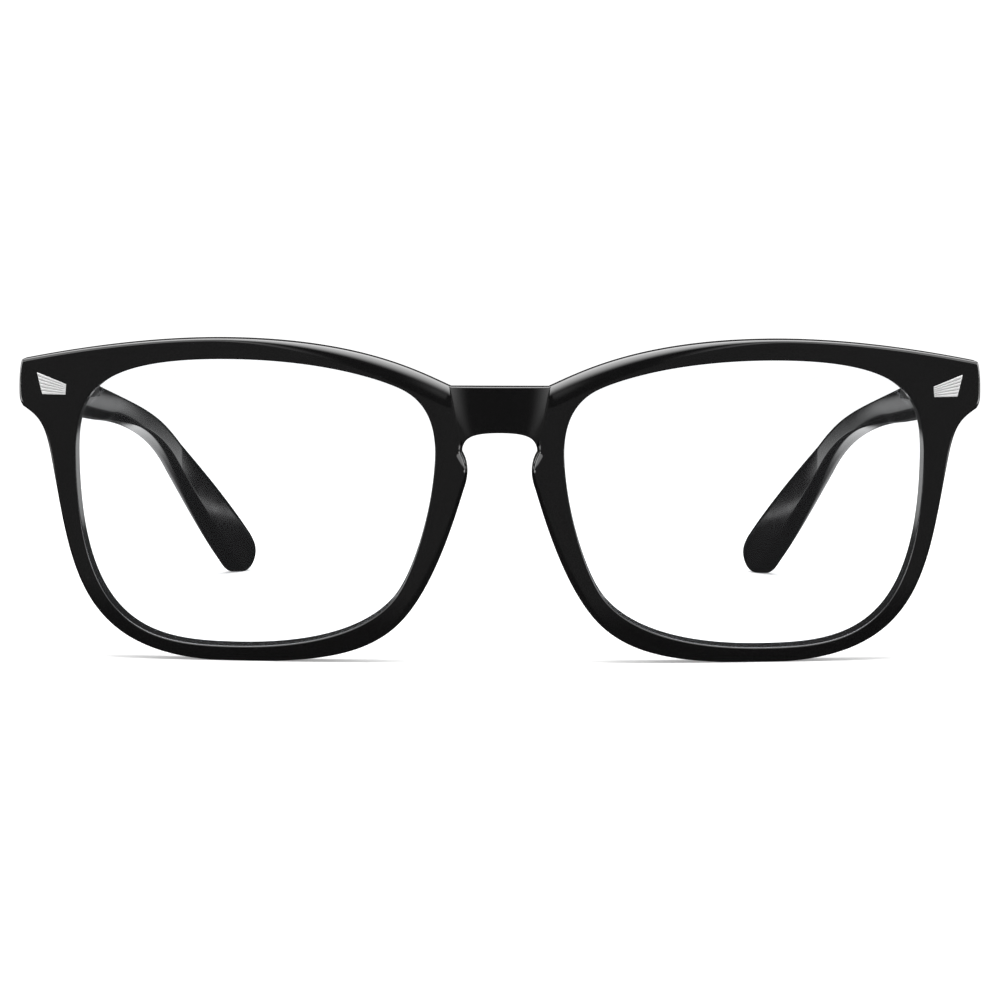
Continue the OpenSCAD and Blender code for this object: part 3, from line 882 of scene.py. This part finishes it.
def coil_mesh(lo, hi):
    """Compression spring along y in a box, in mm of the row frame: the end coils lie closed."""
    mid_x, mid_z = (lo[0] + hi[0]) / 2, (lo[2] + hi[2]) / 2
    coil_r = (hi[0] - lo[0]) / 2 - WIRE_R
    steps, sides = COILS * 48, 14
    t = np.linspace(0, COILS, steps + 1)
    closed = np.minimum(t, CLOSED_COILS) + np.maximum(t - (COILS - CLOSED_COILS), 0)
    pitch = 2 * WIRE_R
    free = (hi[1] - lo[1]) - pitch - 2 * CLOSED_COILS * pitch
    along_y = lo[1] + WIRE_R + closed * pitch + (t - closed) * free / (COILS - 2 * CLOSED_COILS)
    turn = 2 * np.pi * t
    out = np.stack([np.cos(turn), np.zeros_like(turn), np.sin(turn)], 1)
    centre = out * coil_r + np.stack([np.full_like(t, mid_x), along_y, np.full_like(t, mid_z)], 1)
    run = np.gradient(centre, axis=0)
    run /= np.linalg.norm(run, axis=1)[:, None]
    across = np.cross(run, out)
    ring = np.linspace(0, 2 * np.pi, sides + 1)[:-1][None, :, None]
    tube = centre[:, None] + WIRE_R * (np.cos(ring) * out[:, None] + np.sin(ring) * across[:, None])
    caps = [np.repeat(centre[i][None, None], sides, 1) for i in (0, -1)]
    return np.vstack([caps[0], tube, caps[1]])


for side, _ in SIDES:
    spring_lo, spring_hi = (np.array(v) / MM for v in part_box(f"{side}_hinge_spring"))
    rings = coil_mesh(spring_lo, spring_hi)
    rings[..., 1] += MID_Y
    coil = Builder()
    coil.add(rings, closed=True)
    spring = coil.build(f"{side}_coil_spring")
    finish_piece(spring, SPRING, f"{side}_slider", [f"{side}_hinge_spring"])
    # the centre of its far end, where the stop holds it
    anchor = (spring_lo + spring_hi) / 2 * MM
    anchor[1] = spring_hi[1] * MM
    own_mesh(spring)

# ------------------------------------------------------------- floor and card
# heights in metres: both lie just under the resting flats
FLOOR_Z, CARD_Z, HALF_TABLE = -0.00005, -0.0001, 3.0


def table_sheet(name, z):
    """A flat square of the stage, with a material of its own."""
    mesh = bpy.data.meshes.new(name)
    h = HALF_TABLE
    mesh.from_pydata([(-h, -h, 0), (h, -h, 0), (h, h, 0), (-h, h, 0)], [], [(0, 1, 2, 3)])
    obj = bpy.data.objects.new(name, mesh)
    bpy.context.scene.collection.objects.link(obj)
    obj.location.z = z
    mat, nodes, links, bsdf = new_material(name)
    bsdf.inputs["Specular IOR Level"].default_value = 0.0
    bsdf.inputs["Emission Color"].default_value = (1, 1, 1, 1)
    mesh.materials.append(mat)
    return obj, nodes, links, bsdf


floor, _, _, floor_bsdf = table_sheet("floor", FLOOR_Z)
floor_bsdf.inputs["Base Color"].default_value = (0.93, 0.93, 0.93, 1)
floor_bsdf.inputs["Roughness"].default_value = 0.6
floor_bsdf.inputs["Emission Strength"].default_value = 0.3
floor.visible_glossy = False

# what reflections see in place of the white floor: a black card, a painted dark reflection, with a few pale
# glowing zones that are painted highlights and reflections, laid out in metres
card, c_nodes, c_links, card_bsdf = table_sheet("card", CARD_Z)
card.visible_camera = False
card.visible_diffuse = False
card.visible_shadow = False
card.visible_transmission = False
# the card's black is a painted dark reflection where the floor is really white
card_bsdf.inputs["Base Color"].default_value = (0.0, 0.0, 0.0, 1)
EYE_Y = -0.42                           # about where the camera stands


def c_math(operation, first, second=None):
    """A sum, product or the like of the card's values; a plain number may be the second."""
    node = add(c_nodes, "ShaderNodeMath", operation=operation)
    for value, socket in zip((first, second), node.inputs):
        if isinstance(value, (int, float)):
            socket.default_value = value
        elif value is not None:
            c_links.new(value, socket)
    return node.outputs["Value"]


def fade(source, low, high, start, stop):
    return span(c_nodes, c_links, source, low, high, start, stop)


c_coords = add(c_nodes, "ShaderNodeTexCoord")
c_split = add(c_nodes, "ShaderNodeSeparateXYZ")
c_links.new(c_coords.outputs["Object"], c_split.inputs[0])
back = c_split.outputs["Y"]
aside = c_math("ABSOLUTE", c_split.outputs["X"])
off_axis = c_math("DIVIDE", aside, c_math("ADD", back, -EYE_Y))
# each zone glows as a painted highlight or reflection, and is a product of fades: from one level to another
# between two places
PAINTED_GLOW_ZONES = (
    # two glowing strips under the temples: painted highlights on the temples' inner faces
    (fade(aside, 0.0, 1.0, 0.063, 0.069), fade(aside, 1.0, 0.0, 0.082, 0.092),
     fade(back, 0.0, 1.0, 0.02, 0.06), fade(back, 1.0, 0.0, 0.22, 0.32)),
    # a faint glow that ends behind the glasses: a painted reflection
    (fade(back, 0.05, 0.0, 0.3, 0.5),),
    # a pale glowing stretch far behind, fading away from the view axis: a painted reflection
    (fade(back, 0.0, 1.0, 0.33, 0.42), fade(back, 0.6, 0.02, 0.5, 1.8),
     fade(off_axis, 1.0, 0.0, 0.13, 0.2)),
    # a faint glow in front of the glasses: a painted reflection on the front faces
    (fade(back, 0.13, 0.0, -0.11, -0.09),),
    # off to both sides: painted highlights on the edges by the nose
    (fade(aside, 0.0, 7.0, 0.18, 0.22),
     fade(back, 0.0, 1.0, -0.19, -0.15), fade(back, 1.0, 0.0, -0.06, -0.03)),
)
# the summed glow of the zones: painted highlights and reflections, seen only by reflections
level = 0.0
for zone in PAINTED_GLOW_ZONES:
    value = zone[0]
    for factor in zone[1:]:
        value = c_math("MULTIPLY", value, factor)
    level = c_math("ADD", value, level)
c_links.new(level, card_bsdf.inputs["Emission Strength"])

# --------------------------------------------------------------- studio light
WORLD_CAMERA, WORLD_FILL, WORLD_GLOSS = 1.15, 0.8, 0.05
# seen by reflections only: direction, strength, outer and inner half-angle, and the heights in
# degrees between which a box is cut off above the horizon
SOFTBOXES = (
    ((0, 0.1, 1), 8.0, 58, 5, None),
    ((0.75, -0.7, 0.2), 3.2, 40, 5, (0, 4)),
    ((-0.75, -0.7, 0.2), 3.2, 40, 5, (0, 4)),
    ((1, 0.1, 0.2), 6.0, 30, 5, None),
    ((-1, 0.1, 0.2), 6.0, 30, 5, None),
)
world = bpy.data.worlds.new("studio")
bpy.context.scene.world = world
world.use_nodes = True
w_nodes, w_links = world.node_tree.nodes, world.node_tree.links
background = w_nodes["Background"]
background.inputs["Color"].default_value = (1, 1, 1, 1)
path = add(w_nodes, "ShaderNodeLightPath")
w_coords = add(w_nodes, "ShaderNodeTexCoord")


def softbox(direction, strength, edge_deg, core_deg, cut_deg):
    """Bright patch of sky with a soft edge."""
    dot = add(w_nodes, "ShaderNodeVectorMath", operation="DOT_PRODUCT")
    dot.inputs[1].default_value = Vector(direction).normalized()
    w_links.new(w_coords.outputs["Generated"], dot.inputs[0])
    soft = add(w_nodes, "ShaderNodeMapRange", interpolation_type="SMOOTHSTEP")
    soft.inputs["From Min"].default_value = math.cos(math.radians(edge_deg))
    soft.inputs["From Max"].default_value = math.cos(math.radians(core_deg))
    soft.inputs["To Min"].default_value = 0.0
    soft.inputs["To Max"].default_value = strength
    w_links.new(dot.outputs["Value"], soft.inputs["Value"])
    if cut_deg is None:
        return soft.outputs["Result"]
    split = add(w_nodes, "ShaderNodeSeparateXYZ")
    w_links.new(w_coords.outputs["Generated"], split.inputs[0])
    low, high = (math.sin(math.radians(angle)) for angle in cut_deg)
    cut = add(w_nodes, "ShaderNodeMath", operation="MULTIPLY")
    w_links.new(soft.outputs["Result"], cut.inputs[0])
    w_links.new(span(w_nodes, w_links, split.outputs["Z"], 0.0, 1.0, low, high), cut.inputs[1])
    return cut.outputs["Value"]


gloss = None
for box in SOFTBOXES:
    total = add(w_nodes, "ShaderNodeMath", operation="ADD")
    total.inputs[1].default_value = WORLD_GLOSS
    w_links.new(softbox(*box), total.inputs[0])
    if gloss is not None:
        w_links.new(gloss, total.inputs[1])
    gloss = total.outputs["Value"]
fill = add(w_nodes, "ShaderNodeMix")
fill.inputs["A"].default_value = WORLD_FILL
w_links.new(gloss, fill.inputs["B"])
w_links.new(path.outputs["Is Glossy Ray"], fill.inputs["Factor"])
view = add(w_nodes, "ShaderNodeMix")
view.inputs["B"].default_value = WORLD_CAMERA
w_links.new(fill.outputs["Result"], view.inputs["A"])
w_links.new(path.outputs["Is Camera Ray"], view.inputs["Factor"])
w_links.new(view.outputs["Result"], background.inputs["Strength"])

# one soft lamp over the glasses, in metres and watts; reflections don't see it
LAMP_AT, LAMP_AIM = Vector((0, -0.15, 0.85)), Vector((0, -0.05, 0.03))
LAMP_SIZE, LAMP_POWER = (0.9, 0.45), 7.0
lamp_data = bpy.data.lights.new("overhead", "AREA")
lamp_data.shape = "RECTANGLE"
lamp_data.size, lamp_data.size_y = LAMP_SIZE
lamp_data.energy = LAMP_POWER
lamp = bpy.data.objects.new("overhead", lamp_data)
lamp.location = LAMP_AT
lamp.rotation_euler = (LAMP_AIM - LAMP_AT).to_track_quat("-Z", "Y").to_euler()
lamp.visible_glossy = False
bpy.context.scene.collection.objects.link(lamp)

scene = bpy.context.scene
scene.view_settings.view_transform = "Standard"
scene.view_settings.look = "None"
scene.view_settings.exposure = 0.0

# --------------------------------------------------------------------- camera
LENS_LENGTH, SENSOR_WIDTH = 88.5, 36.0
CAM_BACK, CAM_HEIGHT = 350.0, 0.04653   # mm in front of the bridge, metres above the table
CAM_PITCH, CAM_ROLL = 3.716, 0.16       # degrees: it looks slightly down
cam_data = bpy.data.cameras.new("camera")
cam_data.lens = LENS_LENGTH
cam_data.sensor_width = SENSOR_WIDTH
cam_data.clip_start = 0.01
cam = bpy.data.objects.new("camera", cam_data)
cam.location = (0, (-CAM_BACK - MID_Y) * MM, CAM_HEIGHT)
cam.rotation_euler = (math.radians(90 - CAM_PITCH), math.radians(-CAM_ROLL), 0)
scene.collection.objects.link(cam)
scene.camera = cam

bpy.context.view_layer.update()
